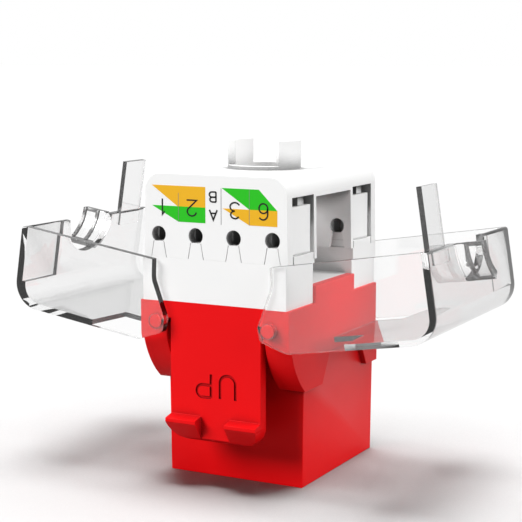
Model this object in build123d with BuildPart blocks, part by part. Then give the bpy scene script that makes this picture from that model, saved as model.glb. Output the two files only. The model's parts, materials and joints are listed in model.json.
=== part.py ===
from build123d import *
from math import cos, hypot, radians, sin, tan
import os

os.makedirs("parts", exist_ok=True)

# Toolless keystone jack, standing on its port face with both clear wings open.
# Millimetres. Origin: centre of the nose's port face. +Z runs from the port up to the
# cable end, -Y is the latch side, and the two wings open towards -X and +X.

# Nose: the part that goes through the panel opening
nose_width = 14.5
nose_depth = 16.3
nose_draft = 0.7
shoulder_z = 9.6

# Wide body behind the panel. Its back lies just inside the nose's back, its front overhangs.
body_back_inset = 0.15
body_width = 15.9
body_depth = 20.1
body_wall = 0.9
body_front_wall = 1.4
body_back_wall = 1.0
rim_z = 17.75
side_rise = 1.65
side_rise_depth = 8.9

# Ears at the body's corners and the cut-away between them
ear_tip_depth = 3.1
ear_curve_rise = 4.85
ear_curve_sagitta = 0.48
ear_notch_rise = 3.0
ear_notch_depth = 7.1
ear_notch_slope = 1.7
ear_notch_mid_y = 0.05

# Sprung latch with two hooks
latch_width = 9.7
latch_thickness = 1.1
latch_side_gap = 0.43
latch_root_drop = 1.85
latch_foot_z = 4.45
latch_foot_chamfer = 0.3
hook_reach = 1.15
hook_top_z = 6.88
hook_shelf_drop = 0.25
hook_nose_height = 0.35
hook_width = 3.3
hook_foot_rise = 0.2
root_clearance = 0.03

# Fixed catch on the side away from the latch
catch_width = 10.0
catch_reach = 1.1
catch_low_z = 4.2
catch_top_z = 6.6

# Port for the plug
port_width = 11.9
port_depth = 6.9
port_height = 12.9
port_front_y = -3.55
key_width = 6.4
key_depth = 1.4
key_inner_width = 4.2
key_inner_depth = 1.2
bezel = 1.3

# Contact insert and its eight spring contacts
insert_clearance = 0.05
insert_comb_depth = 3.3
comb_plate_depth = 2.1
contact_count = 8
contact_pitch = 1.02
contact_width = 0.45
contact_gauge = 0.35
contact_slot_clearance = 0.07
contact_set_back = 2.05
contact_bend_rise = 1.2
contact_bend_run = 1.2
contact_free_rise = 7.7
contact_free_run = 3.2
contact_bend_radius = 0.5

# Circuit board
board_thickness = 1.0
board_headroom = 0.25
board_clearance = 0.15
tail_hole_clearance = 0.07

# Wire rows: four keyholes in each end wall, the same distance above the cap's foot
wire_count = 4
wire_edge_inset = 1.59
wire_rise = 2.2
keyhole_radius = 0.76
slot_top_half = 0.57
slot_foot_half = 0.85
finger_clearance = 0.05
finger_rise = 1.53

# Terminal base under the cap
split_rise = 4.15
base_inset = 0.3
block_inset = 0.35
block_side_gap = 0.275
block_headroom = 0.9
ledge_height = 0.7
ledge_side_gap = 0.225
spigot_clearance = 0.05
wire_slot_width = 1.5
wire_slot_drop = 0.75

# Slitted terminals that grip the wires
terminal_width = 2.0
terminal_gauge = 0.4
terminal_clearance = 0.05
terminal_slit = 0.4
terminal_slit_drop = 1.2
terminal_sink = 0.8
terminal_lead_in = 0.45
terminal_tail_width = 0.6

# Wire cap
cap_height = 8.0
cap_side_draft = 1.0
cap_end_wall = 1.05
cap_inner_wall = 0.5
cap_inner_offset = 3.95
cap_roof = 1.9
cap_roof_middle = 2.15
cap_edge_radius = 1.7
pusher_width = 1.2
pusher_depth = 1.3
pusher_gap = 0.09
pusher_inset = 0.1
collar_bore = 2.9
collar_wall = 0.7
collar_rim = 0.4
collar_height = 2.8
collar_post_half_angle = 40.0

# Wings
pivot_inset = 1.95
pivot_drop = 1.9
pin_radius = 0.65
pin_clearance = 0.05
open_tilt = 8.9
wing_gap = 0.12
wing_plate = 0.8
wing_side_clearance = 0.05
wing_floor_wall = 0.5
wing_end_wall = 0.8
wing_lid_gap = 1.65
wing_rim_gap = 0.18
wing_corner_radius = 2.6
wing_rim_start = 1.18
wing_rim_radius = 0.3
neck_run = 0.95
neck_rise = 3.9
neck_radius = 2.0
ear_reach = 0.95
ear_drop = 0.85
ear_rise = 0.5
ear_corner_radius = 0.6
heel_run = 1.6
heel_radius = 1.0
floor_ledge_gap = 0.55
floor_slant = 0.4
tab_rise_gap = 0.25
tab_margin = 0.35
cable_notch_gap = 0.2
ring_height = 2.8
ring_span = 60.0
ring_step = 0.1
ring_wall = 0.55
ring_rib = 0.24
ring_rib_height = 0.35
tongue_width = 3.8
tongue_offset = 7.2
tongue_length = 5.6
tongue_root = 1.4
tongue_gauge = 0.5
tongue_drop = 0.2
pocket_gauge = 0.4
pocket_end_gap = 0.4
pocket_side_clearance = 0.3

# Extra length that lets a cutting shape run clear of the face it cuts
overcut = 1.0

# Places worked out from the sizes above
nose_front_y = -nose_depth / 2
nose_back_y = nose_depth / 2
body_back_y = nose_back_y - body_back_inset
body_front_y = body_back_y - body_depth
mid_y = (body_front_y + body_back_y) / 2
ear_notch_z = shoulder_z + ear_notch_rise
ear_notch_front_y = ear_notch_mid_y - ear_notch_depth / 2
ear_notch_back_y = ear_notch_mid_y + ear_notch_depth / 2
rise_front_y = mid_y - side_rise_depth / 2
rise_back_y = mid_y + side_rise_depth / 2
nose_spread = ear_notch_z * tan(radians(nose_draft))
cavity_front_y = body_front_y + body_front_wall
cavity_back_y = body_back_y - body_back_wall
cavity_half_width = body_width / 2 - body_wall
cavity_mid_y = (cavity_front_y + cavity_back_y) / 2
cavity_depth = cavity_back_y - cavity_front_y
board_z = rim_z - board_headroom - board_thickness
board_top_z = board_z + board_thickness
latch_root_z = rim_z - latch_root_drop
latch_mid_y = body_front_y + latch_thickness / 2
latch_back_y = body_front_y + latch_thickness
ear_inner_half = latch_width / 2 + latch_side_gap
port_back_y = port_front_y + port_depth
key_back_y = port_back_y + key_depth + key_inner_depth
shaft_front_y = port_front_y - insert_comb_depth
insert_front_y = shaft_front_y + insert_clearance
insert_back_y = key_back_y - insert_clearance
insert_width = port_width - 2 * insert_clearance
comb_back_y = insert_front_y + comb_plate_depth
contact_back_y = port_front_y - contact_set_back
contact_arm_y = contact_back_y + contact_bend_run
contact_slot_width = contact_width + 2 * contact_slot_clearance
contact_slot_depth = contact_gauge + 2 * contact_slot_clearance
contact_slot_front_y = contact_back_y - contact_slot_depth / 2
contact_bend_z = bezel + contact_bend_rise
contact_xs = [(i - (contact_count - 1) / 2) * contact_pitch for i in range(contact_count)]
split_z = rim_z + split_rise
floor_top_z = rim_z + side_rise
base_half_width = body_width / 2 - base_inset
block_half_width = base_half_width - block_inset
cap_top_z = split_z + cap_height
block_top_z = cap_top_z - cap_roof - block_headroom
ledge_z = split_z + ledge_height
wire_z = split_z + wire_rise
wire_reach = base_half_width - wire_edge_inset
wire_xs = [wire_reach * (2 * i / (wire_count - 1) - 1) for i in range(wire_count)]
wire_slot_floor_z = wire_z - wire_slot_drop
terminal_top_z = block_top_z - terminal_sink
terminal_slit_z = wire_z - terminal_slit_drop
contact_hole_radius = hypot(contact_width, contact_gauge) / 2 + tail_hole_clearance
terminal_hole_radius = hypot(terminal_tail_width, terminal_gauge) / 2 + tail_hole_clearance
inner_wall_far = cap_inner_offset + cap_inner_wall
end_wall_near = body_depth / 2 - cap_end_wall
bay_depth = end_wall_near - inner_wall_far
block_offset = (end_wall_near + inner_wall_far) / 2
block_depth = bay_depth - 2 * block_side_gap
ledge_depth = bay_depth - 2 * ledge_side_gap
cap_lean = cap_height * tan(radians(cap_side_draft))
pusher_foot_z = wire_z + keyhole_radius + pusher_gap
pusher_offset = (block_depth - pusher_depth) / 2 - pusher_inset
collar_radius = collar_bore + collar_wall
post_reach = collar_radius * cos(radians(collar_post_half_angle))
post_half = collar_radius * sin(radians(collar_post_half_angle))
spigot_z = board_top_z + spigot_clearance
pivot_x = body_width / 2 - pivot_inset
pivot_z = rim_z - pivot_drop
wing_inner_half = body_depth / 2 + wing_gap
wing_outer_half = wing_inner_half + wing_plate
wing_rim = pivot_x - wing_rim_gap
wing_floor_inner = pivot_x - base_half_width - wing_side_clearance
wing_floor_outer = wing_floor_inner - wing_floor_wall
wing_end_inner = cap_top_z + wing_lid_gap - pivot_z
wing_length = wing_end_inner + wing_end_wall
floor_start = ledge_z + floor_ledge_gap - pivot_z
tab_start = floor_top_z + tab_rise_gap - pivot_z
tab_half = side_rise_depth / 2 + tab_margin
pocket_depth = tongue_length - 2 * wing_rim_gap + pocket_end_gap
pocket_width = wing_inner_half - tongue_offset + tongue_width / 2 + pocket_side_clearance
cable_notch_radius = collar_radius + cable_notch_gap
ring_bore = cable_notch_radius + ring_step
ring_reach = 2 * (ring_bore + ring_wall)
rib_bore = ring_bore - ring_rib
end_rib_low = ring_height - ring_rib_height
mid_rib_low = end_rib_low / 3


def finish(piece, name):
    """Label one finished sub-part and write its file."""
    piece.label = name
    export_step(piece, f"parts/{name}.step")


def side_plane(x):
    """Sketch plane parallel to YZ at x: its first axis is +Y and its second is +Z."""
    return Plane(origin=(x, 0, 0), x_dir=(0, 1, 0), z_dir=(1, 0, 0))


def end_plane(y):
    """Sketch plane parallel to XZ at y, facing -Y: its axes are +X and +Z."""
    return Plane(origin=(0, y, 0), x_dir=(1, 0, 0), z_dir=(0, -1, 0))


# Housing: one moulding with the nose, the wide body, the ears and the wing pins
with BuildPart() as housing:
    with BuildSketch(side_plane(-body_width / 2)):
        with BuildLine():
            ear_tip = (body_front_y + ear_tip_depth, shoulder_z)
            ear_foot = (body_front_y, shoulder_z + ear_curve_rise)
            Polyline(
                ear_foot,
                (body_front_y, rim_z),
                (rise_front_y, rim_z),
                (rise_front_y, floor_top_z),
                (rise_back_y, floor_top_z),
                (rise_back_y, rim_z),
                (body_back_y, rim_z),
                (body_back_y, shoulder_z),
                (ear_notch_back_y + ear_notch_slope, shoulder_z),
                (ear_notch_back_y, ear_notch_z),
                (ear_notch_front_y, ear_notch_z),
                (ear_notch_front_y - ear_notch_slope, shoulder_z),
                ear_tip,
            )
            SagittaArc(ear_tip, ear_foot, ear_curve_sagitta)
        make_face()
    extrude(amount=body_width)
    # Space between the front ears, in front of the nose
    with BuildSketch(Plane.XY):
        with Locations((0, (body_front_y + nose_front_y) / 2)):
            Rectangle(2 * ear_inner_half, nose_front_y - body_front_y)
    extrude(amount=latch_root_z, mode=Mode.SUBTRACT)
    # Drafted nose
    with BuildSketch(end_plane(nose_back_y)):
        Polygon(
            (-nose_width / 2, 0),
            (nose_width / 2, 0),
            (nose_width / 2 + nose_spread, ear_notch_z),
            (-nose_width / 2 - nose_spread, ear_notch_z),
            align=None,
        )
    extrude(amount=nose_depth)
    # Board space, open at the top
    with BuildSketch(Plane.XY.offset(board_z)):
        with Locations((0, cavity_mid_y)):
            Rectangle(2 * cavity_half_width, cavity_depth)
    extrude(amount=floor_top_z - board_z, mode=Mode.SUBTRACT)
    # Port with its stepped keyway, and the shaft for the contact insert above it
    with BuildSketch(Plane.XY):
        with Locations((0, port_front_y + port_depth / 2)):
            Rectangle(port_width, port_depth)
        with Locations((0, port_back_y + key_depth / 2)):
            Rectangle(key_width, key_depth)
        with Locations((0, key_back_y - key_inner_depth / 2)):
            Rectangle(key_inner_width, key_inner_depth)
    extrude(amount=port_height, mode=Mode.SUBTRACT)
    with BuildSketch(Plane.XY.offset(bezel)):
        with Locations((0, shaft_front_y + insert_comb_depth / 2)):
            Rectangle(port_width, insert_comb_depth)
    extrude(amount=board_z - bezel, mode=Mode.SUBTRACT)
    with BuildSketch(Plane.XY.offset(port_height)):
        with Locations((0, (shaft_front_y + key_back_y) / 2)):
            Rectangle(port_width, key_back_y - shaft_front_y)
    extrude(amount=board_z - port_height, mode=Mode.SUBTRACT)
    # Round seat for the latch root
    with BuildSketch(side_plane(-ear_inner_half)):
        with Locations((latch_mid_y, latch_root_z)):
            Circle(latch_thickness / 2 + root_clearance)
    extrude(amount=2 * ear_inner_half, mode=Mode.SUBTRACT)
    # Fixed catch on the back of the nose: flat on top, ramped towards the port
    with BuildSketch(side_plane(-catch_width / 2)):
        Polygon(
            (nose_back_y, catch_low_z),
            (nose_back_y + catch_reach, catch_top_z - catch_reach),
            (nose_back_y + catch_reach, catch_top_z),
            (nose_back_y, catch_top_z),
            align=None,
        )
    extrude(amount=catch_width)
    # Wing pins, two at the front and two at the back
    with BuildSketch(end_plane(body_front_y)):
        with Locations((-pivot_x, pivot_z), (pivot_x, pivot_z)):
            Circle(pin_radius)
    extrude(amount=wing_gap + wing_plate)
    with BuildSketch(end_plane(body_back_y)):
        with Locations((-pivot_x, pivot_z), (pivot_x, pivot_z)):
            Circle(pin_radius)
    extrude(amount=-(wing_gap + wing_plate))
finish(housing.part, "housing")


# Latch: a flat arm that turns on its rounded root, with two hooks near its foot
with BuildPart() as latch:
    with BuildSketch(side_plane(-latch_width / 2)):
        with BuildLine():
            Polyline(
                (body_front_y, latch_root_z),
                (body_front_y, latch_foot_z + latch_foot_chamfer),
                (body_front_y + latch_foot_chamfer, latch_foot_z),
                (latch_back_y - latch_foot_chamfer, latch_foot_z),
                (latch_back_y, latch_foot_z + latch_foot_chamfer),
                (latch_back_y, latch_root_z),
            )
            ThreePointArc(
                (latch_back_y, latch_root_z),
                (latch_mid_y, latch_root_z + latch_thickness / 2),
                (body_front_y, latch_root_z),
            )
        make_face()
    extrude(amount=latch_width)
    for hook_x in (-latch_width / 2, latch_width / 2 - hook_width):
        with BuildSketch(side_plane(hook_x)):
            Polygon(
                (latch_mid_y, hook_top_z),
                (latch_mid_y, latch_foot_z + hook_foot_rise),
                (body_front_y, latch_foot_z + hook_foot_rise),
                (body_front_y - hook_reach, hook_top_z - hook_shelf_drop - hook_nose_height),
                (body_front_y - hook_reach, hook_top_z - hook_shelf_drop),
                (body_front_y, hook_top_z),
                align=None,
            )
        extrude(amount=hook_width)
finish(latch.part, "latch")


# Contact insert: a top block under the board and a slotted comb down one port wall
with BuildPart() as insert:
    with BuildSketch(Plane.XY.offset(port_height)):
        with Locations((0, (insert_front_y + insert_back_y) / 2)):
            Rectangle(insert_width, insert_back_y - insert_front_y)
    extrude(amount=board_z - port_height)
    with BuildSketch(Plane.XY.offset(bezel)):
        with Locations((0, (insert_front_y + comb_back_y) / 2)):
            Rectangle(insert_width, comb_plate_depth)
    extrude(amount=port_height - bezel)
    with BuildSketch(Plane.XY.offset(bezel)):
        with Locations(*[(x, (contact_slot_front_y + comb_back_y) / 2) for x in contact_xs]):
            Rectangle(contact_slot_width, comb_back_y - contact_slot_front_y)
    extrude(amount=port_height - bezel, mode=Mode.SUBTRACT)
    with BuildSketch(Plane.XY.offset(port_height)):
        with Locations(*[(x, contact_back_y) for x in contact_xs]):
            Rectangle(contact_slot_width, contact_slot_depth)
    extrude(amount=board_z - port_height, mode=Mode.SUBTRACT)
finish(insert.part, "contact_insert")


def spring_contact(x):
    """One port contact: a tail through the board, a straight shank and a folded free arm."""
    with BuildPart() as contact:
        with BuildLine() as route:
            FilletPolyline(
                (x, contact_back_y, board_top_z),
                (x, contact_back_y, contact_bend_z),
                (x, contact_arm_y, contact_bend_z),
                (x, contact_arm_y + contact_free_run, contact_bend_z + contact_free_rise),
                radius=contact_bend_radius,
            )
        with BuildSketch(Plane.XY.offset(board_top_z)):
            with Locations((x, contact_back_y)):
                Rectangle(contact_width, contact_gauge)
        sweep(path=route.wires()[0])
    return contact.part


for index, x in enumerate(contact_xs):
    finish(spring_contact(x), f"port_contact_{index + 1}")


# Circuit board, drilled for the contact tails and the terminal tails
with BuildPart() as board:
    with BuildSketch(Plane.XY.offset(board_z)):
        with Locations((0, cavity_mid_y)):
            Rectangle(
                2 * (cavity_half_width - board_clearance), cavity_depth - 2 * board_clearance
            )
        with Locations(*[(x, contact_back_y) for x in contact_xs]):
            Circle(contact_hole_radius, mode=Mode.SUBTRACT)
        for row in (-1, 1):
            with Locations(*[(x, mid_y + row * block_offset) for x in wire_xs]):
                Circle(terminal_hole_radius, mode=Mode.SUBTRACT)
    extrude(amount=board_thickness)
finish(board.part, "circuit_board")


def keyhole_foot(clearance):
    """Sketch one keyhole's tapered foot at the origin, smaller by the clearance on each side."""
    Polygon(
        (-slot_foot_half + clearance, 0),
        (slot_foot_half - clearance, 0),
        (slot_top_half - clearance, finger_rise),
        (-slot_top_half + clearance, finger_rise),
        align=None,
    )


# Terminal base: two end blocks joined by a floor, with comb fingers and terminal blocks
with BuildPart() as base:
    with BuildSketch(Plane.XY.offset(spigot_z)):
        with Locations((0, cavity_mid_y)):
            Rectangle(
                2 * (cavity_half_width - spigot_clearance), cavity_depth - 2 * spigot_clearance
            )
    extrude(amount=floor_top_z - spigot_z)
    for row in (-1, 1):
        outer_y = mid_y + row * body_depth / 2
        inner_y = mid_y + row * inner_wall_far
        with BuildSketch(Plane.XY.offset(rim_z)):
            with Locations((0, (outer_y + inner_y) / 2)):
                Rectangle(2 * base_half_width, abs(outer_y - inner_y))
        extrude(amount=split_z - rim_z)
        with BuildSketch(Plane.XY.offset(split_z)):
            with Locations((0, mid_y + row * block_offset)):
                Rectangle(2 * block_half_width, block_depth)
        extrude(amount=block_top_z - split_z)
        with BuildSketch(Plane.XY.offset(split_z)):
            with Locations((0, mid_y + row * block_offset)):
                Rectangle(2 * base_half_width, ledge_depth)
        extrude(amount=ledge_height)
        # Fingers that close the foot of each keyhole
        with BuildSketch(end_plane(outer_y)):
            with Locations(*[(x, split_z) for x in wire_xs]):
                keyhole_foot(finger_clearance)
        extrude(amount=row * (cap_end_wall - finger_clearance))
        # Wire slots across the terminal block, then the terminal pockets
        with BuildSketch(end_plane(mid_y + row * block_offset)):
            with Locations(*[(x, (wire_slot_floor_z + block_top_z) / 2) for x in wire_xs]):
                Rectangle(wire_slot_width, block_top_z - wire_slot_floor_z)
        extrude(amount=block_depth / 2, both=True, mode=Mode.SUBTRACT)
        with BuildSketch(Plane.XY.offset(spigot_z)):
            with Locations(*[(x, mid_y + row * block_offset) for x in wire_xs]):
                Rectangle(
                    terminal_width + 2 * terminal_clearance,
                    terminal_gauge + 2 * terminal_clearance,
                )
        extrude(amount=block_top_z - spigot_z, mode=Mode.SUBTRACT)
finish(base.part, "terminal_base")


def terminal(x, row):
    """One slitted terminal: two tines above a flat body, and a tail through the board."""
    half = terminal_width / 2
    slit = terminal_slit / 2
    tail = terminal_tail_width / 2
    with BuildPart() as blade:
        with BuildSketch(end_plane(mid_y + row * block_offset)):
            with Locations((x, 0)):
                Polygon(
                    (-tail, board_z),
                    (tail, board_z),
                    (tail, spigot_z),
                    (half, spigot_z),
                    (half, terminal_top_z),
                    (slit + terminal_lead_in, terminal_top_z),
                    (slit, terminal_top_z - terminal_lead_in),
                    (slit, terminal_slit_z),
                    (-slit, terminal_slit_z),
                    (-slit, terminal_top_z - terminal_lead_in),
                    (-slit - terminal_lead_in, terminal_top_z),
                    (-half, terminal_top_z),
                    (-half, spigot_z),
                    (-tail, spigot_z),
                    align=None,
                )
        extrude(amount=terminal_gauge / 2, both=True)
    return blade.part


for first_number, row in ((1, -1), (1 + wire_count, 1)):
    for index, x in enumerate(wire_xs):
        finish(terminal(x, row), f"wire_terminal_{first_number + index}")


# Wire cap: a roof on four cross walls, with keyholes, wire pushers and the cable collar
with BuildPart() as cap:
    with BuildSketch(end_plane(body_back_y)):
        with BuildLine():
            FilletPolyline(
                (-base_half_width, split_z),
                (base_half_width, split_z),
                (base_half_width - cap_lean, cap_top_z),
                (-base_half_width + cap_lean, cap_top_z),
                radius=[0, 0, cap_edge_radius, cap_edge_radius],
                close=True,
            )
        make_face()
    extrude(amount=body_depth)
    # Bays between the cross walls, open at the sides and below
    bay_width = 2 * base_half_width + overcut
    with BuildSketch(Plane.XY.offset(split_z)):
        for row in (-1, 1):
            with Locations((0, mid_y + row * block_offset)):
                Rectangle(bay_width, bay_depth)
    extrude(amount=cap_height - cap_roof, mode=Mode.SUBTRACT)
    with BuildSketch(Plane.XY.offset(split_z)):
        with Locations((0, mid_y)):
            Rectangle(bay_width, 2 * cap_inner_offset)
    extrude(amount=cap_height - cap_roof_middle, mode=Mode.SUBTRACT)
    # Keyholes through all four walls
    with BuildSketch(end_plane(mid_y)):
        with Locations(*[(x, wire_z) for x in wire_xs]):
            Circle(keyhole_radius)
        with Locations(*[(x, split_z) for x in wire_xs]):
            keyhole_foot(0)
    extrude(amount=body_depth / 2, both=True, mode=Mode.SUBTRACT)
    # Pushers that seat each wire on either side of its terminal
    with BuildSketch(Plane.XY.offset(pusher_foot_z)):
        for row in (-1, 1):
            for side in (-1, 1):
                pusher_y = mid_y + row * block_offset + side * pusher_offset
                with Locations(*[(x, pusher_y) for x in wire_xs]):
                    Rectangle(pusher_width, pusher_depth)
    extrude(amount=cap_top_z - cap_roof - pusher_foot_z)
    # Collar: a low ring with two tall posts, then the cable hole
    with BuildSketch(Plane.XY.offset(cap_top_z)):
        with Locations((0, mid_y)):
            Circle(collar_radius)
    extrude(amount=collar_rim)
    with BuildSketch(Plane.XY.offset(cap_top_z)):
        with BuildLine():
            Line((0, mid_y), (post_reach, mid_y - post_half))
            ThreePointArc(
                (post_reach, mid_y - post_half),
                (collar_radius, mid_y),
                (post_reach, mid_y + post_half),
            )
            Line((post_reach, mid_y + post_half), (0, mid_y))
        make_face()
        mirror(about=Plane.YZ)
    extrude(amount=collar_height)
    with BuildSketch(Plane.XY.offset(split_z)):
        with Locations((0, mid_y)):
            Circle(collar_bore)
    extrude(amount=cap_height + collar_height, mode=Mode.SUBTRACT)
finish(cap.part, "wire_cap")


def wing(side):
    """One clear wing, drawn in its own plane through the pivot.

    The plane's first axis runs along the wing's floor away from the pivot, and its second
    from the floor towards the open rim. side is 1 on the right and -1 on the left.
    """
    tilt = radians(open_tilt)
    frame = Plane(
        origin=(side * pivot_x, mid_y, pivot_z),
        x_dir=(side * cos(tilt), 0, sin(tilt)),
        z_dir=(0, -side, 0),
    )
    with BuildPart() as shell:
        # Outline of the front and back plates, filled right across
        with BuildSketch(frame):
            with BuildLine():
                FilletPolyline(
                    (wing_rim_start, wing_rim),
                    (wing_length, wing_rim),
                    (wing_length, wing_floor_outer),
                    (heel_run, wing_floor_outer),
                    (-ear_reach, -ear_drop),
                    (-ear_reach, ear_rise),
                    (neck_run, neck_rise),
                    radius=[
                        0,
                        wing_rim_radius,
                        wing_corner_radius,
                        heel_radius,
                        ear_corner_radius,
                        ear_corner_radius,
                        neck_radius,
                    ],
                    close=True,
                )
            make_face()
        extrude(amount=wing_outer_half, both=True)
        # Inside, open at the rim and at the hinge end
        with BuildSketch(frame):
            with BuildLine():
                FilletPolyline(
                    (-ear_reach - overcut, wing_rim + overcut),
                    (wing_end_inner, wing_rim + overcut),
                    (wing_end_inner, wing_floor_inner),
                    (-ear_reach - overcut, wing_floor_inner),
                    radius=[0, 0, wing_corner_radius - wing_end_wall, 0],
                    close=True,
                )
            make_face()
        extrude(amount=wing_inner_half, both=True, mode=Mode.SUBTRACT)
        # Floor cut back from the hinge, with a middle tab that closes over the body's side rise
        under_floor = Plane(
            origin=frame.origin + frame.y_dir * (wing_floor_outer - overcut),
            x_dir=frame.x_dir,
            z_dir=frame.y_dir,
        )
        with BuildSketch(under_floor):
            Polygon(
                (-ear_reach - overcut, -wing_inner_half),
                (floor_start, -wing_inner_half),
                (floor_start - floor_slant, -tab_half),
                (tab_start, -tab_half),
                (tab_start, tab_half),
                (floor_start - floor_slant, tab_half),
                (floor_start, wing_inner_half),
                (-ear_reach - overcut, wing_inner_half),
                align=None,
            )
        extrude(amount=wing_floor_wall + 2 * overcut, mode=Mode.SUBTRACT)
        # Pocket inside the end wall for the other wing's tongue
        with BuildSketch(frame.offset(-wing_inner_half)):
            with Locations((wing_end_inner, wing_rim)):
                Rectangle(pocket_gauge, pocket_depth, align=(Align.MIN, Align.MAX))
        extrude(amount=pocket_width, mode=Mode.SUBTRACT)
        # Tongue from the end wall across the open side
        with BuildSketch(frame.offset(tongue_offset - tongue_width / 2)):
            with Locations((wing_end_inner - tongue_drop, wing_rim - tongue_root)):
                Rectangle(tongue_gauge, tongue_root + tongue_length, align=(Align.MIN, Align.MIN))
        extrude(amount=tongue_width)
        # Half-round cable notch, and the ribbed arc of a ring that stands up from one side of it
        outward = Plane(
            origin=frame.origin + frame.x_dir * wing_end_inner + frame.y_dir * pivot_x,
            x_dir=frame.z_dir * -1,
            z_dir=frame.x_dir,
        )
        with BuildSketch(outward):
            Circle(cable_notch_radius)
        extrude(amount=wing_end_wall, mode=Mode.SUBTRACT)
        for low, high, bore in (
            (0, ring_height, ring_bore),
            (end_rib_low, ring_height, rib_bore),
            (mid_rib_low, mid_rib_low + ring_rib_height, rib_bore),
        ):
            with BuildSketch(outward.offset(wing_end_wall + low)):
                Circle(ring_bore + ring_wall)
                Circle(bore, mode=Mode.SUBTRACT)
                with Locations((0, -wing_rim_gap)):
                    Polygon(
                        (0, 0),
                        (-ring_reach, 0),
                        (-ring_reach * cos(radians(ring_span)), -ring_reach * sin(radians(ring_span))),
                        align=None,
                        mode=Mode.INTERSECT,
                    )
            extrude(amount=high - low)
        # Pin holes through both plates
        with BuildSketch(frame):
            Circle(pin_radius + pin_clearance)
        extrude(amount=wing_outer_half, both=True, mode=Mode.SUBTRACT)
    return shell.part


finish(wing(-1), "left_wing")
finish(wing(1), "right_wing")
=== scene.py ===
"""Toolless keystone jack: finishes, wiring label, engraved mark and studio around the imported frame."""

import json
import logging
import math
from dataclasses import dataclass
from enum import Enum
from typing import Any, Optional, Sequence, Union

import bmesh
import bpy
import numpy as np
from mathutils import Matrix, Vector

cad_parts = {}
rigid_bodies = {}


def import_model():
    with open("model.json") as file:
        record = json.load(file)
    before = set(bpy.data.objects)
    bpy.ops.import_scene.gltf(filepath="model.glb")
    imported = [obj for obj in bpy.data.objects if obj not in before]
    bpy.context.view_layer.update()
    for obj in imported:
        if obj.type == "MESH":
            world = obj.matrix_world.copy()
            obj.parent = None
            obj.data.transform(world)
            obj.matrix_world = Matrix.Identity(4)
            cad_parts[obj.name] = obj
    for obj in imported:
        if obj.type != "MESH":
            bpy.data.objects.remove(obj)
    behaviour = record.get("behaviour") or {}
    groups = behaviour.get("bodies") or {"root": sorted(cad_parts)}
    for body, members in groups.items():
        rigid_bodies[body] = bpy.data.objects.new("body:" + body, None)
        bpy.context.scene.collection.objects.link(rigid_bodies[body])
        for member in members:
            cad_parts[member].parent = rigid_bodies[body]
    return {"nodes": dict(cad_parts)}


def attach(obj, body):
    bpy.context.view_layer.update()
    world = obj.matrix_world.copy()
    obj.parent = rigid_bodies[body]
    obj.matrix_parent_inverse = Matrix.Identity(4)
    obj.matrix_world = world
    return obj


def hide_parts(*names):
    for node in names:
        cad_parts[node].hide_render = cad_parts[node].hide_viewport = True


LOG = logging.getLogger("keystone_jack")
MM = 0.001
MERGE_DISTANCE = 0.002 * MM
FLAT_ANGLE = math.radians(0.5)
CORNER_ANGLE = math.radians(35)
ENGRAVED_ANGLE = math.radians(30)
Colour = tuple[float, float, float]
Point = tuple[float, float]
Nodes = dict[str, bpy.types.Object]
Owner = Union[bpy.types.Material, bpy.types.World]


class Side(Enum):
    """Which side of the jack a wing is on."""

    LEFT = "left"
    RIGHT = "right"


class Ink(Enum):
    """The inks of the wiring label."""

    ORANGE = "orange"
    GREEN = "green"
    BLACK = "black"
    GREY = "grey"


class FloorLight(Enum):
    """Whether a lamp lights the floor alone, or everything but the floor."""

    ALONE = "INCLUDE"
    LEFT_OUT = "EXCLUDE"


class Signal:
    """A number socket of a shader tree that takes part in Python arithmetic."""

    def __init__(self, sheet: "ShaderSheet", socket: bpy.types.NodeSocket) -> None:
        """Wrap one socket of the sheet's tree."""
        self.sheet = sheet
        self.socket = socket

    def _math(self, operation: str, first: Any, second: Any) -> "Signal":
        """Add one Math node.

        Args:
            operation: the Math node's operation.
            first: its first value or signal.
            second: its second value or signal.

        Returns:
            The node's result.
        """
        return self.sheet.add("ShaderNodeMath", {"operation": operation}, {0: first, 1: second})

    def __add__(self, other: Any) -> "Signal":
        """Add a number or a signal."""
        return self._math("ADD", self, other)

    def __radd__(self, other: Any) -> "Signal":
        """Add to a number."""
        return self._math("ADD", other, self)

    def __sub__(self, other: Any) -> "Signal":
        """Take away a number or a signal."""
        return self._math("SUBTRACT", self, other)

    def __rsub__(self, other: Any) -> "Signal":
        """Take from a number."""
        return self._math("SUBTRACT", other, self)

    def __mul__(self, other: Any) -> "Signal":
        """Multiply by a number or a signal."""
        return self._math("MULTIPLY", self, other)

    def __rmul__(self, other: Any) -> "Signal":
        """Multiply a number."""
        return self._math("MULTIPLY", other, self)

    def __lt__(self, other: Any) -> "Signal":
        """One where this is less than a number or a signal, and else zero."""
        return self._math("LESS_THAN", self, other)

    def __gt__(self, other: Any) -> "Signal":
        """One where this is more than a number or a signal, and else zero."""
        return self._math("GREATER_THAN", self, other)


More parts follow.
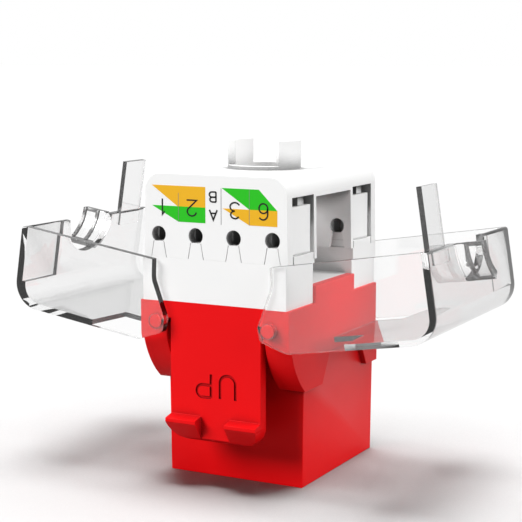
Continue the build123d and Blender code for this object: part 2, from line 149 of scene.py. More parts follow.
class ShaderSheet:
    """The node tree of one material or world, emptied and ready to be laid out."""

    def __init__(self, owner: Owner) -> None:
        """Empty the owner's tree.

        Args:
            owner: the material or world.
        """
        owner.use_nodes = True
        self.owner = owner
        self.tree = owner.node_tree
        self.tree.nodes.clear()

    def add(
        self,
        kind: str,
        settings: Optional[dict[str, Any]] = None,
        values: Optional[dict[Union[int, str], Any]] = None,
        out: Union[int, str] = 0,
    ) -> Signal:
        """Add one node.

        Args:
            kind: the node's type.
            settings: its own properties, set first.
            values: input sockets by name or place, each a value or a signal.
            out: the output socket to return.

        Returns:
            The chosen output.
        """
        node = self.tree.nodes.new(kind)
        for key, value in (settings or {}).items():
            setattr(node, key, value)
        for key, value in (values or {}).items():
            if isinstance(value, Signal):
                self.tree.links.new(value.socket, node.inputs[key])
            else:
                node.inputs[key].default_value = value
        sockets = node.outputs or node.inputs
        return Signal(self, sockets[out])

    def grain(self, size: float, detail: float = 2.0, stretch: float = 1.0) -> Signal:
        """Noise over the piece's own coordinates.

        Args:
            size: width of one grain in metres.
            detail: how many finer layers the noise has.
            stretch: how many times longer a grain is along Z than across it.

        Returns:
            A value from 0 to 1.
        """
        place = self.add("ShaderNodeTexCoord", out="Object")
        spread = self.add("ShaderNodeMapping", None, {"Vector": place, "Scale": (1.0, 1.0, 1 / stretch)})
        return self.add("ShaderNodeTexNoise", None, {"Vector": spread, "Scale": 1 / size, "Detail": detail})

    def bump(self, height: Signal, depth: float) -> Signal:
        """Bend the normal by a height from 0 to 1, where 1 stands for a depth in metres."""
        return self.add("ShaderNodeBump", None, {"Distance": depth, "Height": height})

    def blend(self, factor: Signal, first: Union[Colour, Signal], second: Union[Colour, Signal]) -> Signal:
        """Mix two colours by a factor from 0 to 1."""
        ends = [end if isinstance(end, Signal) else (*end, 1.0) for end in (first, second)]
        return self.add("ShaderNodeMix", {"data_type": "RGBA"}, {0: factor, 6: ends[0], 7: ends[1]}, out=2)

    def openness(self, reach: float, samples: int, own_shape_only: bool) -> Signal:
        """How open a surface is to what lies round it.

        Args:
            reach: how far away a shape still counts, in metres.
            samples: the number of rays.
            own_shape_only: whether the other pieces are left out.

        Returns:
            One in the open, falling to zero deep in a recess.
        """
        settings = {"samples": samples, "only_local": own_shape_only}
        return self.add("ShaderNodeAmbientOcclusion", settings, {"Distance": reach}, "AO")

    def path(self, output: str) -> Signal:
        """One of the Light Path node's outputs."""
        return self.add("ShaderNodeLightPath", out=output)

    def either(self, *rays: str) -> Signal:
        """One for a ray of any of the named kinds, which never hold together, and else zero."""
        kinds = [self.path(ray) for ray in rays]
        return sum(kinds[1:], kinds[0])

    def in_view(self) -> Signal:
        """One for a ray that comes from the camera straight, by gloss or through glass, and else zero."""
        unscattered = self.path("Diffuse Depth") < 0.5
        return unscattered * self.either("Is Camera Ray", "Is Transmission Ray", "Is Glossy Ray")

    def surface(self, shader: Signal) -> Owner:
        """Show a shader on the owner.

        Args:
            shader: the finished shader.

        Returns:
            The owner.
        """
        world = isinstance(self.owner, bpy.types.World)
        self.add("ShaderNodeOutputWorld" if world else "ShaderNodeOutputMaterial", None, {"Surface": shader})
        return self.owner


@dataclass(frozen=True)
class MouldedPlastic:
    """An opaque moulding: a fine spark-eroded grain, slow drift in tone and gloss, and painted shade that
    darkens its recesses.
    """

    name: str
    colour: Colour
    drift_colour: Colour
    painted_shade_colour: Colour
    roughness: float
    specular: float
    painted_shade_reach: float = 5 * MM
    painted_shade_samples: int = 12
    closed_at: float = 0.38
    open_at: float = 0.88
    drift_size: float = 6 * MM
    roughness_drift: float = 0.08
    grain_size: float = 0.12 * MM
    grain_depth: float = 0.003 * MM

    def build(self) -> bpy.types.Material:
        """Lay out the finish.

        Returns:
            Its material.
        """
        sheet = ShaderSheet(bpy.data.materials.new(self.name))
        drift = sheet.grain(self.drift_size)
        face = sheet.blend(drift, self.colour, self.drift_colour)
        # Painted shade: ambient occlusion blends the base colour towards the recess colour in recesses and
        # gaps.
        openness = sheet.openness(self.painted_shade_reach, self.painted_shade_samples, True)
        span = {"Value": openness, "From Min": self.closed_at, "From Max": self.open_at}
        unshaded = sheet.add("ShaderNodeMapRange", None, span)
        shader = sheet.add(
            "ShaderNodeBsdfPrincipled",
            None,
            {
                "Base Color": sheet.blend(unshaded, self.painted_shade_colour, face),
                "Roughness": (drift - 0.5) * self.roughness_drift + self.roughness,
                "Specular IOR Level": self.specular,
                "Normal": sheet.bump(sheet.grain(self.grain_size, 3.0), self.grain_depth),
            },
        )
        return sheet.surface(shader)


@dataclass(frozen=True)
class ClearPlastic:
    """Polished clear plastic with a faint flow in its surface. A painted shade makes it greyer where it is
    seen edge on.
    """

    name: str
    tint: Colour
    edge_on_shade: Colour
    shade_tint: Colour
    roughness: float = 0.01
    ior: float = 1.585
    flow_size: float = 9 * MM
    flow_depth: float = 0.02 * MM

    def build(self) -> bpy.types.Material:
        """Lay out the finish.

        Returns:
            Its material.
        """
        sheet = ShaderSheet(bpy.data.materials.new(self.name))
        # Painted shade: the base colour darkens towards the edge colour where the surface is seen edge on.
        facing = sheet.add("ShaderNodeLayerWeight", out="Facing")
        clear = sheet.add(
            "ShaderNodeBsdfPrincipled",
            None,
            {
                "Base Color": sheet.blend(facing * facing, self.tint, self.edge_on_shade),
                "Roughness": self.roughness,
                "IOR": self.ior,
                "Transmission Weight": 1.0,
                "Normal": sheet.bump(sheet.grain(self.flow_size, 1.0), self.flow_depth),
            },
        )
        lamps = sheet.add("ShaderNodeBsdfTransparent", None, {"Color": (*self.shade_tint, 1.0)})
        shadow = sheet.path("Is Shadow Ray")
        return sheet.surface(sheet.add("ShaderNodeMixShader", None, {0: shadow, 1: clear, 2: lamps}))


@dataclass(frozen=True)
class PlatedMetal:
    """Plated strip with faint rolling marks along its length."""

    name: str
    colour: Colour
    worn_colour: Colour
    roughness: float
    roughness_drift: float = 0.16
    mark_width: float = 0.06 * MM
    mark_stretch: float = 12.0
    mark_depth: float = 0.002 * MM

    def build(self) -> bpy.types.Material:
        """Lay out the finish.

        Returns:
            Its material.
        """
        sheet = ShaderSheet(bpy.data.materials.new(self.name))
        marks = sheet.grain(self.mark_width, stretch=self.mark_stretch)
        shader = sheet.add(
            "ShaderNodeBsdfPrincipled",
            None,
            {
                "Base Color": sheet.blend(marks, self.colour, self.worn_colour),
                "Metallic": 1.0,
                "Roughness": (marks - 0.5) * self.roughness_drift + self.roughness,
                "Normal": sheet.bump(marks, self.mark_depth),
            },
        )
        return sheet.surface(shader)


@dataclass(frozen=True)
class PrintedInk:
    """Pad-printed ink: nearly even, slightly thinner in places."""

    name: str
    colour: Colour
    thin_colour: Colour
    roughness: float = 0.42
    roughness_drift: float = 0.1
    specular: float = 0.15
    patch_size: float = 0.25 * MM
    depth: float = 0.002 * MM

    def build(self) -> bpy.types.Material:
        """Lay out the finish.

        Returns:
            Its material.
        """
        sheet = ShaderSheet(bpy.data.materials.new(self.name))
        cover = sheet.grain(self.patch_size, 3.0)
        shader = sheet.add(
            "ShaderNodeBsdfPrincipled",
            None,
            {
                "Base Color": sheet.blend(cover, self.colour, self.thin_colour),
                "Roughness": cover * self.roughness_drift + self.roughness,
                "Specular IOR Level": self.specular,
                "Normal": sheet.bump(cover, self.depth),
            },
        )
        return sheet.surface(shader)


@dataclass(frozen=True)
class StudioPaper:
    """The floor's paper: white to the camera, to gloss and through glass, and greyer as a source of light.

    A painted shadow makes it darker where the object stands close over it.
    """

    name: str
    colour: Colour
    fibre_colour: Colour
    shaded_colour: Colour
    bounce_colour: Colour
    fibre_size: float = 3 * MM
    shade_reach: float = 27 * MM
    shade_samples: int = 16

    def build(self) -> bpy.types.Material:
        """Lay out the finish.

        Returns:
            Its material.
        """
        sheet = ShaderSheet(bpy.data.materials.new(self.name))
        tone = sheet.blend(sheet.grain(self.fibre_size), self.colour, self.fibre_colour)
        # Painted shadow: ambient occlusion darkens the paper towards the shaded colour near the object.
        openness = sheet.openness(self.shade_reach, self.shade_samples, False)
        shaded = sheet.blend(openness, self.shaded_colour, tone)
        paper = sheet.add("ShaderNodeBsdfDiffuse", None, {"Color": shaded})
        bounce = sheet.add("ShaderNodeBsdfDiffuse", None, {"Color": (*self.bounce_colour, 1.0)})
        seen = sheet.in_view()
        return sheet.surface(sheet.add("ShaderNodeMixShader", None, {0: seen, 1: bounce, 2: paper}))


def prisms(outlines: Sequence[np.ndarray], near_y: float, far_y: float, name: str) -> bpy.types.Object:
    """Closed prisms that stand on outlines drawn in the XZ plane.

    Every corner (x, z) becomes the two points (x, near_y, z) and (x, far_y, z). Each edge of an outline
    becomes a side face between its two pairs of points, and one face closes each end.

    Args:
        outlines: one array of corners, n x 2 in millimetres, for each prism.
        near_y: the plane of the first ends, in metres.
        far_y: the plane of the second ends, in metres.
        name: the piece's name.

    Returns:
        The object, at the origin.
    """
    points: list[np.ndarray] = []
    faces: list[list[int]] = []
    start = 0
    for outline in outlines:
        count = len(outline)
        ring = np.arange(count) + start
        after = np.roll(ring, -1)
        for y in (near_y, far_y):
            points.append(np.insert(outline * MM, 1, y, axis=1))
        faces += [ring.tolist(), (ring + count)[::-1].tolist()]
        faces += np.stack((after, ring, ring + count, after + count), axis=1).tolist()
        start += 2 * count
    mesh = bpy.data.meshes.new(name)
    mesh.from_pydata(np.vstack(points).tolist(), [], faces)
    piece = bpy.data.objects.new(name, mesh)
    bpy.context.scene.collection.objects.link(piece)
    work = bmesh.new()
    work.from_mesh(mesh)
    bmesh.ops.recalc_face_normals(work, faces=work.faces)
    work.to_mesh(mesh)
    work.free()
    return piece


def rounded_copy(node: bpy.types.Object, radius: float, name: str) -> bpy.types.Object:
    """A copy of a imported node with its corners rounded.

    The loose triangles are merged, the flat faces are joined up, and a bevel rounds each edge that turns
    by more than the corner angle.

    Args:
        node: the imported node.
        radius: the width of the rounding, in metres.
        name: the copy's name.

    Returns:
        The copy, at the origin.
    """
    mesh = node.data.copy()
    mesh.name = name
    work = bmesh.new()
    work.from_mesh(mesh)
    bmesh.ops.remove_doubles(work, verts=work.verts, dist=MERGE_DISTANCE)
    bmesh.ops.dissolve_limit(work, angle_limit=FLAT_ANGLE, verts=work.verts, edges=work.edges)
    bmesh.ops.recalc_face_normals(work, faces=work.faces)
    for face in work.faces:
        face.smooth = True
    work.to_mesh(mesh)
    work.free()
    mesh.set_sharp_from_angle(angle=CORNER_ANGLE)
    piece = bpy.data.objects.new(name, mesh)
    bpy.context.scene.collection.objects.link(piece)
    bevel = piece.modifiers.new("soft_corners", "BEVEL")
    bevel.width = radius
    bevel.segments = 2
    bevel.limit_method = "ANGLE"
    bevel.angle_limit = CORNER_ANGLE
    bevel.harden_normals = True
    return piece


def paint_rim_shade(piece: bpy.types.Object, finish: bpy.types.Material, widest: float, clear_of: float) -> int:
    """Give the flat narrow faces of a piece a finish of their own, a painted shade that darkens them.

    A face's width is taken as twice its area over its perimeter. It is a rim where that is less than the
    limit and more than half of its perimeter turns by over the corner angle.

    Args:
        piece: the piece, already dressed in its main finish.
        finish: the rims' finish, a painted shade.
        widest: the widest rim, in metres.
        clear_of: how far from the middle, along X, the rims start.

    Returns:
        The number of rims.
    """
    piece.data.materials.append(finish)
    work = bmesh.new()
    work.from_mesh(piece.data)
    rims = 0
    for face in work.faces:
        perimeter = face.calc_perimeter()
        turned = sum(edge.calc_length() for edge in face.edges if edge.calc_face_angle(0.0) > CORNER_ANGLE)
        outside = abs(face.calc_center_median().x) > clear_of
        if outside and 2 * face.calc_area() < widest * perimeter and 2 * turned > perimeter:
            face.material_index = 1
            rims += 1
    work.to_mesh(piece.data)
    work.free()
    return rims


def engrave(piece: bpy.types.Object, cutters: Sequence[bpy.types.Object]) -> None:
    """Cut closed shapes out of a piece one after the other, and take the cutters away.

    The largest faces then lead the shading, so that the cuts leave the flat face flat.

    Args:
        piece: the piece, which gets a new mesh with its modifiers applied.
        cutters: the shapes to cut out.
    """
    for cutter in cutters:
        cut = piece.modifiers.new(cutter.name, "BOOLEAN")
        cut.operation = "DIFFERENCE"
        cut.solver = "EXACT"
        cut.object = cutter
    bpy.context.view_layer.update()
    graph = bpy.context.evaluated_depsgraph_get()
    mesh = bpy.data.meshes.new_from_object(piece.evaluated_get(graph))
    piece.modifiers.clear()
    mesh.set_sharp_from_angle(angle=ENGRAVED_ANGLE)
    piece.data = mesh
    even = piece.modifiers.new("even_normals", "WEIGHTED_NORMAL")
    even.keep_sharp = True
    even.weight = 100
    for cutter in cutters:
        bpy.data.objects.remove(cutter)


def dress(piece: bpy.types.Object, finish: bpy.types.Material) -> None:
    """Give a piece one finish all over."""
    piece.data.materials.clear()
    piece.data.materials.append(finish)


def settle(piece: bpy.types.Object, finish: bpy.types.Material, body: str) -> None:
    """Dress a new piece and join it to its body.

    Args:
        piece: the new piece.
        finish: its finish.
        body: the moving body it rides on.
    """
    dress(piece, finish)
    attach(piece, body)
    LOG.info("%s on %s", piece.name, body)


class Pen:
    """Single-stroke capitals and numbers, drawn in a box one unit high that stands on zero."""

    degrees_a_point: int = 9
    sharpest_bend: float = 0.4

    @classmethod
    def arc(cls, middle: Point, across: float, up: float, start: float, end: float) -> np.ndarray:
        """Points on an ellipse: the middle plus across times the cosine and up times the sine.

        Args:
            middle: the ellipse's middle.
            across: half its width.
            up: half its height.
            start: the first angle in degrees, anticlockwise from the right.
            end: the last angle in degrees.

        Returns:
            The points, n x 2.
        """
        count = 2 + int(abs(end - start) // cls.degrees_a_point)
        angles = np.radians(np.linspace(start, end, count))
        return np.stack((middle[0] + across * np.cos(angles), middle[1] + up * np.sin(angles)), axis=1)

    @classmethod
    def strokes(cls, mark: str) -> list[np.ndarray]:
        """The pen strokes of one mark.

        Args:
            mark: one of 1, 2, 3, 6, A, B, U and P.

        Returns:
            One line of points for each stroke.
        """
        corners = {
            "1": [[(0.0, 0.80), (0.17, 1.0), (0.17, 0.0)]],
            "A": [[(0.0, 0.0), (0.44, 1.0), (0.88, 0.0)], [(0.16, 0.34), (0.72, 0.34)]],
            "B": [[(0.0, 0.0), (0.0, 1.0)]],
            "P": [[(0.0, 0.0), (0.0, 1.0)]],
        }
        strokes = [np.array(line) for line in corners.get(mark, [])]
        if mark == "2":
            strokes = [np.vstack((cls.arc((0.35, 0.72), 0.33, 0.28, 170, -38), [(0.0, 0.0), (0.72, 0.0)]))]
        elif mark == "3":
            strokes = [
                cls.arc((0.34, 0.765), 0.295, 0.235, 155, -90),
                cls.arc((0.34, 0.265), 0.34, 0.265, 90, -155),
            ]
        elif mark == "6":
            strokes = [
                cls.arc((0.31, 0.30), 0.30, 0.30, 0, 360),
                np.vstack(([(0.01, 0.30)], cls.arc((0.33, 0.66), 0.32, 0.34, 180, 38))),
            ]
        elif mark == "B":
            strokes += [
                np.vstack(([(0.0, 1.0)], cls.arc((0.42, 0.76), 0.27, 0.24, 90, -90), [(0.0, 0.52)])),
                np.vstack(([(0.0, 0.52)], cls.arc((0.45, 0.26), 0.30, 0.26, 90, -90), [(0.0, 0.0)])),
            ]
        elif mark == "P":
            bowl = cls.arc((0.40, 0.735), 0.28, 0.265, 90, -90)
            strokes.append(np.vstack(([(0.0, 1.0)], bowl, [(0.0, 0.47)])))
        elif mark == "U":
            strokes = [np.vstack(([(0.0, 1.0)], cls.arc((0.36, 0.32), 0.36, 0.32, 180, 360), [(0.72, 1.0)]))]
        return strokes

    @classmethod
    def ribbon(cls, line: np.ndarray, width: float) -> np.ndarray:
        """The outline of a stroke of even width.

        Each point moves out along its normal by half the width, down one side of the line and back up
        the other. At a bend the normal is the mean of its neighbours', stretched to keep the width.

        Args:
            line: the stroke's middle line, n x 2.
            width: the pen's width.

        Returns:
            The closed outline, 2n x 2.
        """
        step = np.diff(line, axis=0)
        step /= np.linalg.norm(step, axis=1, keepdims=True)
        after = np.vstack((step, step[-1:]))
        mean = after + np.vstack((step[:1], step))
        mean /= np.linalg.norm(mean, axis=1, keepdims=True)
        reach = width / 2 / np.maximum((mean * after).sum(axis=1), cls.sharpest_bend)
        offset = np.stack((-mean[:, 1], mean[:, 0]), axis=1) * reach[:, None]
        return np.vstack((line + offset, (line - offset)[::-1]))

    @classmethod
    def upside_down(cls, mark: str, x: float, z: float, height: float, width: float) -> list[np.ndarray]:
        """Outlines of one mark turned by half a turn, as the jack's marks are read with the port up.

        Args:
            mark: the letter or number.
            x: the middle of the mark.
            z: the middle of the mark.
            height: its height over the strokes.
            width: the pen's width.

        Returns:
            One outline for each stroke, in the units of the arguments.
        """
        lines = cls.strokes(mark)
        reach = np.vstack(lines)
        middle = (reach.min(axis=0) + reach.max(axis=0)) / 2
        return [cls.ribbon(np.array((x, z)) - (line - middle) * (height - width), width) for line in lines]


@dataclass
class Housing:
    """The red moulding, the black insert with its gold contacts, and the board."""

    red: bpy.types.Material
    black: bpy.types.Material
    gold: bpy.types.Material
    board: bpy.types.Material
    contacts: int = 8
    corner_radius: float = 0.10 * MM

    def build(self, nodes: Nodes) -> None:
        """Round the housing's corners and finish what it holds.

        Args:
            nodes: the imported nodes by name.
        """
        shell = rounded_copy(nodes["housing"], self.corner_radius, "housing_shell")
        settle(shell, self.red, "jack_body")
        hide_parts("housing")
        dress(nodes["contact_insert"], self.black)
        dress(nodes["circuit_board"], self.board)
        for number in range(1, self.contacts + 1):
            dress(nodes[f"port_contact_{number}"], self.gold)
        LOG.info("housing, insert, board and %d contacts", self.contacts)


@dataclass
class Latch:
    """The sprung latch with its engraved mark and the thin web over its root.

    Places along Y and lengths with a unit are in metres. Outlines are drawn in millimetres.
    """

    red: bpy.types.Material
    face_y: float = -12.1 * MM
    corner_radius: float = 0.12 * MM
    foot_radius: float = 1.9
    half_width: float = 4.85
    foot_z: float = 4.45
    cut_out_to: Point = (6.0, 3.0)
    cut_ys: tuple[float, float] = (-14 * MM, -10 * MM)
    mark_z: float = 9.93
    mark_height: float = 2.55
    mark_xs: tuple[tuple[str, float], ...] = (("P", -1.22), ("U", 1.35))
    pen_width: float = 0.28
    mark_depth: float = 0.14 * MM
    web_half_width: float = 4.8
    web_span: tuple[float, float] = (15.5, 16.35)
    web_proud: float = 0.003 * MM

    def foot_cutters(self) -> list[bpy.types.Object]:
        """Blocks that round the foot's two corners off.

        Each outline runs round a corner with a margin outside it, and comes back along the quarter circle
        of the foot's radius whose middle lies that radius in from the side and up from the foot.

        Returns:
            One block for each corner.
        """
        blocks = []
        for side in (-1, 1):
            middle = (self.half_width - self.foot_radius, self.foot_z + self.foot_radius)
            curve = Pen.arc(middle, self.foot_radius, self.foot_radius, -90, 0)
            beyond = ((self.cut_out_to[0], middle[1]), self.cut_out_to, (middle[0], self.cut_out_to[1]))
            outline = np.vstack((curve, beyond)) * (side, 1)
            blocks.append(prisms([outline], *self.cut_ys, f"foot_cutter_{side + 1}"))
        return blocks

    def build(self, nodes: Nodes) -> None:
        """Round the arm's corners, engrave the mark and close the groove over the root.

        Args:
            nodes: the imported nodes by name.
        """
        arm = rounded_copy(nodes["latch"], self.corner_radius, "latch_arm_shell")
        outlines: list[np.ndarray] = []
        for mark, x in self.mark_xs:
            outlines += Pen.upside_down(mark, x, self.mark_z, self.mark_height, self.pen_width)
        back_y = self.face_y + self.mark_depth
        cutters = [
            prisms([line], self.face_y - self.mark_depth, back_y, f"mark_cutter_{place}")
            for place, line in enumerate(outlines)
        ]
        engrave(arm, cutters + self.foot_cutters())
        settle(arm, self.red, "latch_arm")
        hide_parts("latch")
        low, high = self.web_span
        half = self.web_half_width
        outline = np.array(((-half, low), (half, low), (half, high), (-half, high)))
        web = prisms([outline], self.face_y - self.web_proud, self.face_y + self.web_proud, "latch_root_web")
        settle(web, self.red, "jack_body")
        LOG.info("latch with %d engraved strokes", len(cutters))


@dataclass
class Terminals:
    """The white base under the cap and the terminals that grip the wires."""

    white: bpy.types.Material
    tin: bpy.types.Material
    count: int = 8
    corner_radius: float = 0.07 * MM

    def build(self, nodes: Nodes) -> None:
        """Round the base's corners and finish the terminals.

        Args:
            nodes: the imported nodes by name.
        """
        base = rounded_copy(nodes["terminal_base"], self.corner_radius, "terminal_base_shell")
        settle(base, self.white, "jack_body")
        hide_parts("terminal_base")
        for number in range(1, self.count + 1):
            dress(nodes[f"wire_terminal_{number}"], self.tin)
        LOG.info("terminal base and %d terminals", self.count)


@dataclass
class WiringLabel:
    """The wiring order printed on the cap's front. Outlines and places are x and z in millimetres."""

    inks: dict[Ink, bpy.types.Material]
    face_y: float = -12.1 * MM
    ink_depth: float = 0.01 * MM
    pen_width: float = 0.14
    rule_width: float = 0.04
    fields: tuple[tuple[str, Ink, tuple[Point, ...]], ...] = (
        ("label_left_top", Ink.ORANGE, ((-6.79, 28.77), (-0.95, 28.77), (-0.95, 26.84), (-3.98, 26.84))),
        ("label_left_foot", Ink.GREEN, ((-6.78, 26.84), (-0.95, 26.84), (-0.95, 25.38), (-3.86, 25.38))),
        ("label_right_top", Ink.GREEN, ((0.78, 28.75), (4.67, 28.75), (6.57, 26.87), (3.69, 26.87))),
        ("label_right_foot", Ink.ORANGE, ((0.88, 26.87), (6.57, 26.87), (6.57, 25.42), (3.69, 25.42))),
    )
    rules: tuple[tuple[str, float, float, float], ...] = (
        ("label_left_rule", -3.86, 25.38, 28.1),
        ("label_right_rule", 3.69, 25.42, 28.75),
        ("label_middle_rule", 0.73, 25.33, 28.7),
    )
    marks: tuple[tuple[str, str, float, float, float], ...] = (
        ("label_one", "1", -5.50, 26.75, 1.62),
        ("label_two", "2", -2.42, 26.74, 1.62),
        ("label_b", "B", -0.16, 27.88, 1.07),
        ("label_a", "A", -0.10, 26.21, 1.07),
        ("label_three", "3", 2.16, 26.72, 1.62),
        ("label_six", "6", 5.14, 26.75, 1.62),
    )

    def _print(self, name: str, outlines: Sequence[np.ndarray], ink: Ink, layer: int) -> None:
        """Lay inked shapes on the cap's front face.

        Args:
            name: the piece's name.
            outlines: their outlines as x and z, in millimetres.
            ink: their ink.
            layer: how many layers of ink stand proud of the face.
        """
        piece = prisms(outlines, self.face_y - layer * self.ink_depth, self.face_y + self.ink_depth, name)
        settle(piece, self.inks[ink], "cap")

    def build(self) -> None:
        """Print the fields, the rules, the numbers and the letters."""
        for name, ink, outline in self.fields:
            self._print(name, [np.array(outline)], ink, 1)
        for name, x, low, high in self.rules:
            self._print(name, [Pen.ribbon(np.array(((x, low), (x, high))), self.rule_width)], Ink.GREY, 2)
        for name, mark, x, z, height in self.marks:
            self._print(name, Pen.upside_down(mark, x, z, height, self.pen_width), Ink.BLACK, 3)
        LOG.info("wiring label: %d fields, %d marks", len(self.fields), len(self.marks))


@dataclass
class WireCap:
    """The white cap with its keyholes and cable collar."""

    white: bpy.types.Material
    label: WiringLabel
    corner_radius: float = 0.08 * MM

    def build(self, nodes: Nodes) -> None:
        """Round the cap's corners and print its label.

        Args:
            nodes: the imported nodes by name.
        """
        cap = rounded_copy(nodes["wire_cap"], self.corner_radius, "wire_cap_shell")
        settle(cap, self.white, "cap")
        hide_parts("wire_cap")
        self.label.build()
        LOG.info("wire cap")


@dataclass
class Wing:
    """One clear wing, with a thin skin that closes each pin hole on the outside.

    The pivot and the skin's radius are in millimetres, and the rest in metres.
    """

    side: Side
    clear: bpy.types.Material
    rim: bpy.types.Material
    corner_radius: float = 0.08 * MM
    widest_rim: float = 0.85 * MM
    hinge_reach: float = 8.5 * MM
    pivot: Point = (6.0, 15.85)
    skin_radius: float = 0.72
    skin_ys: tuple[float, float] = (-13.025 * MM, 8.925 * MM)
    skin_depth: float = 0.02 * MM
    skin_turn: float = 351.0

    def _close_pin_holes(self) -> None:
        """Lay a round skin over the front and the back pin, through which their ends show.

        Its outline is an arc that turns to one step short of the full circle, in degrees.
        """
        turn = -1 if self.side is Side.LEFT else 1
        middle = (turn * self.pivot[0], self.pivot[1])
        outline = Pen.arc(middle, self.skin_radius, self.skin_radius, 0, self.skin_turn)
        for place, near_y in enumerate(self.skin_ys):
            far_y = near_y + math.copysign(self.skin_depth, near_y)
            skin = prisms([outline], near_y, far_y, f"{self.side.value}_pin_skin_{place + 1}")
            settle(skin, self.clear, f"wing_{self.side.value}")

    def build(self, nodes: Nodes) -> None:
        """Round the wing's corners, so that its edges catch the light, and close its pin holes.

        Args:
            nodes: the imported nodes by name.
        """
        node = f"{self.side.value}_wing"
        shell = rounded_copy(nodes[node], self.corner_radius, f"{node}_shell")
        settle(shell, self.clear, f"wing_{self.side.value}")
        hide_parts(node)
        # Painted shade: the narrow rims get the nearly black rim finish.
        rims = paint_rim_shade(shell, self.rim, self.widest_rim, self.hinge_reach)
        self._close_pin_holes()
        LOG.info("%s wing with %d rims", self.side.value, rims)


@dataclass(frozen=True)
class Lamp:
    """A wide soft sun: where its light comes from, its spread in degrees, its strength and its floor."""

    name: str
    source: tuple[float, float, float]
    spread: float
    strength: float
    floor: FloorLight


@dataclass
class Studio:
    """The floor, the lamps, the world and the camera. Lengths are in metres."""

    paper: bpy.types.Material
    floor_half: float = 12.0
    floor_points: int = 9
    camera_place: tuple[float, float, float] = (0.06441, -0.12547, 0.04019)
    camera_target: tuple[float, float, float] = (-0.00146, 0.0, 0.0203)
    focal_pixels: float = 1413.3
    frame_pixels: float = 522.0
    sensor: float = 36.0
    clip_start: float = 0.005
    clip_end: float = 40.0
    world_level: float = 0.10
    lamps: tuple[Lamp, ...] = (
        Lamp("floor_lamp", (0.0, 0.05, 1.0), 30.0, 3.40, FloorLight.ALONE),
        Lamp("key_lamp", (-0.90, -1.0, 0.90), 32.0, 3.60, FloorLight.LEFT_OUT),
        Lamp("side_lamp", (1.0, -0.10, 0.55), 32.0, 2.00, FloorLight.LEFT_OUT),
        Lamp("top_lamp", (0.15, 0.10, 1.0), 40.0, 1.60, FloorLight.LEFT_OUT),
    )

    def build_floor(self) -> bpy.types.Object:
        """A level sheet: an even grid of points at height zero over the whole floor.

        Returns:
            The floor.
        """
        steps = np.linspace(-self.floor_half, self.floor_half, self.floor_points)
        x, y = np.meshgrid(steps, steps, indexing="ij")
        points = np.stack((x, y, np.zeros_like(x)), axis=-1).reshape(-1, 3)
        index = np.arange(x.size).reshape(x.shape)
        faces = np.stack((index[:-1, :-1], index[1:, :-1], index[1:, 1:], index[:-1, 1:]), axis=-1)
        mesh = bpy.data.meshes.new("studio_floor")
        mesh.from_pydata(points.tolist(), [], faces.reshape(-1, 4).tolist())
        floor = bpy.data.objects.new("studio_floor", mesh)
        bpy.context.scene.collection.objects.link(floor)
        dress(floor, self.paper)
        return floor

    def build_lamps(self, floor: bpy.types.Object) -> None:
        """Hang the lamps.

        The floor is lit by a lamp of its own, in which the object's shadow falls straight down, and the
        others leave it out.

        Args:
            floor: the studio floor.
        """
        for lamp in self.lamps:
            light = bpy.data.lights.new(lamp.name, "SUN")
            light.angle = math.radians(lamp.spread)
            light.energy = lamp.strength
            held = bpy.data.objects.new(lamp.name, light)
            held.rotation_euler = (-Vector(lamp.source)).to_track_quat("-Z", "Y").to_euler()
            bpy.context.scene.collection.objects.link(held)
            lit = bpy.data.collections.new(f"{lamp.name}_floor")
            lit.objects.link(floor)
            held.light_linking.receiver_collection = lit
            lit.collection_objects[0].light_linking.link_state = lamp.floor.value

    def build_world(self) -> None:
        """A plain world, white to the camera, to gloss and through glass, and dimmer as a light."""
        sheet = ShaderSheet(bpy.data.worlds.new("studio_world"))
        light = sheet.add("ShaderNodeBackground", None, {"Strength": self.world_level})
        white = sheet.add("ShaderNodeBackground", None, {"Color": (1.0, 1.0, 1.0, 1.0)})
        both = sheet.add("ShaderNodeMixShader", None, {0: sheet.in_view(), 1: light, 2: white})
        bpy.context.scene.world = sheet.surface(both)

    def build_camera(self) -> None:
        """The camera that was fitted to the photograph."""
        lens = bpy.data.cameras.new("photo_camera")
        lens.sensor_width = self.sensor
        lens.lens = self.focal_pixels / self.frame_pixels * self.sensor
        lens.clip_start = self.clip_start
        lens.clip_end = self.clip_end
        held = bpy.data.objects.new("photo_camera", lens)
        spot = Vector(self.camera_place)
        held.location = spot
        held.rotation_euler = (Vector(self.camera_target) - spot).to_track_quat("-Z", "Y").to_euler()
        bpy.context.scene.collection.objects.link(held)
        bpy.context.scene.camera = held

    def build(self) -> None:
        """Set up the floor, the lamps, the world and the camera."""
        self.build_lamps(self.build_floor())
        self.build_world()
        self.build_camera()
        bpy.context.scene.view_settings.view_transform = "Standard"
        LOG.info("studio with %d lamps", len(self.lamps))


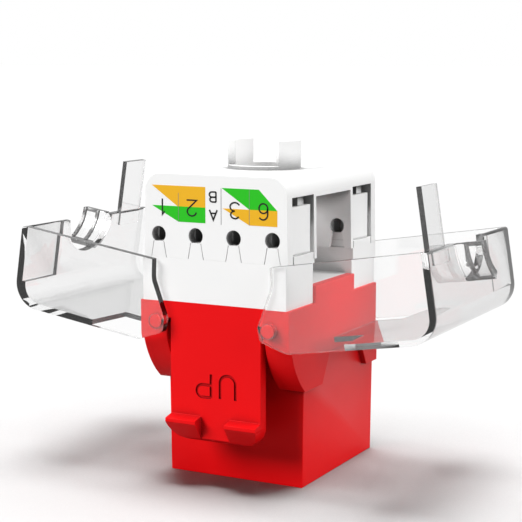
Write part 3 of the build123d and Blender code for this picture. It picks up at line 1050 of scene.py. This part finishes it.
def main() -> None:
    """Build the sub-assemblies in order."""
    logging.basicConfig(level=logging.INFO, format="%(message)s")
    for thing in list(bpy.data.objects):
        bpy.data.objects.remove(thing)
    nodes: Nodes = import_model()["nodes"]
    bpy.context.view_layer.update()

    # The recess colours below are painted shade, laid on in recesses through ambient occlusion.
    red = MouldedPlastic(
        "red_abs",
        colour=(0.81, 0.0045, 0.0065),
        drift_colour=(0.78, 0.004, 0.006),
        painted_shade_colour=(0.22, 0.003, 0.005),
        roughness=0.40,
        specular=0.10,
    ).build()
    white = MouldedPlastic(
        "white_abs",
        colour=(0.90, 0.90, 0.897),
        drift_colour=(0.88, 0.88, 0.877),
        painted_shade_colour=(0.24, 0.24, 0.24),
        roughness=0.40,
        specular=0.35,
        closed_at=0.57,
        open_at=0.73,
    ).build()
    black = MouldedPlastic(
        "black_insert",
        colour=(0.02, 0.02, 0.021),
        drift_colour=(0.028, 0.028, 0.029),
        painted_shade_colour=(0.01, 0.01, 0.01),
        roughness=0.5,
        specular=0.4,
    ).build()
    board = MouldedPlastic(
        "board_mask",
        colour=(0.01, 0.14, 0.06),
        drift_colour=(0.015, 0.17, 0.075),
        painted_shade_colour=(0.005, 0.07, 0.03),
        roughness=0.3,
        specular=0.5,
    ).build()
    gold = PlatedMetal("gold_plate", (0.86, 0.62, 0.24), (0.74, 0.53, 0.21), roughness=0.22).build()
    tin = PlatedMetal("tin_plate", (0.78, 0.78, 0.76), (0.67, 0.67, 0.65), roughness=0.32).build()
    clear = ClearPlastic(
        "clear_polycarbonate",
        tint=(0.98, 0.98, 0.98),
        edge_on_shade=(0.08, 0.08, 0.08),
        shade_tint=(0.60, 0.60, 0.60),
    ).build()
    # Painted shade: a nearly black clear finish for the wings' narrow rims, standing in for the dark lines
    # at their edges.
    rim = ClearPlastic(
        "painted_dark_rim",
        tint=(0.05, 0.05, 0.05),
        edge_on_shade=(0.01, 0.01, 0.01),
        shade_tint=(0.60, 0.60, 0.60),
        roughness=0.25,
    ).build()
    inks = {
        Ink.ORANGE: PrintedInk("orange_ink", (0.84, 0.455, 0.018), (0.82, 0.44, 0.022)).build(),
        Ink.GREEN: PrintedInk("green_ink", (0.022, 0.52, 0.014), (0.026, 0.50, 0.018)).build(),
        Ink.BLACK: PrintedInk("black_ink", (0.010, 0.010, 0.010), (0.014, 0.014, 0.014)).build(),
        Ink.GREY: PrintedInk("grey_ink", (0.20, 0.20, 0.20), (0.24, 0.24, 0.24)).build(),
    }
    # The shaded colour is a painted shadow on the floor round the object.
    paper = StudioPaper(
        "studio_paper",
        colour=(0.88, 0.88, 0.88),
        fibre_colour=(0.87, 0.87, 0.87),
        shaded_colour=(0.215, 0.225, 0.225),
        bounce_colour=(0.30, 0.30, 0.30),
    ).build()

    Housing(red, black, gold, board).build(nodes)
    Latch(red).build(nodes)
    Terminals(white, tin).build(nodes)
    WireCap(white, WiringLabel(inks)).build(nodes)
    for side in Side:
        Wing(side, clear, rim).build(nodes)
    Studio(paper).build()


if __name__ == "__main__":
    main()
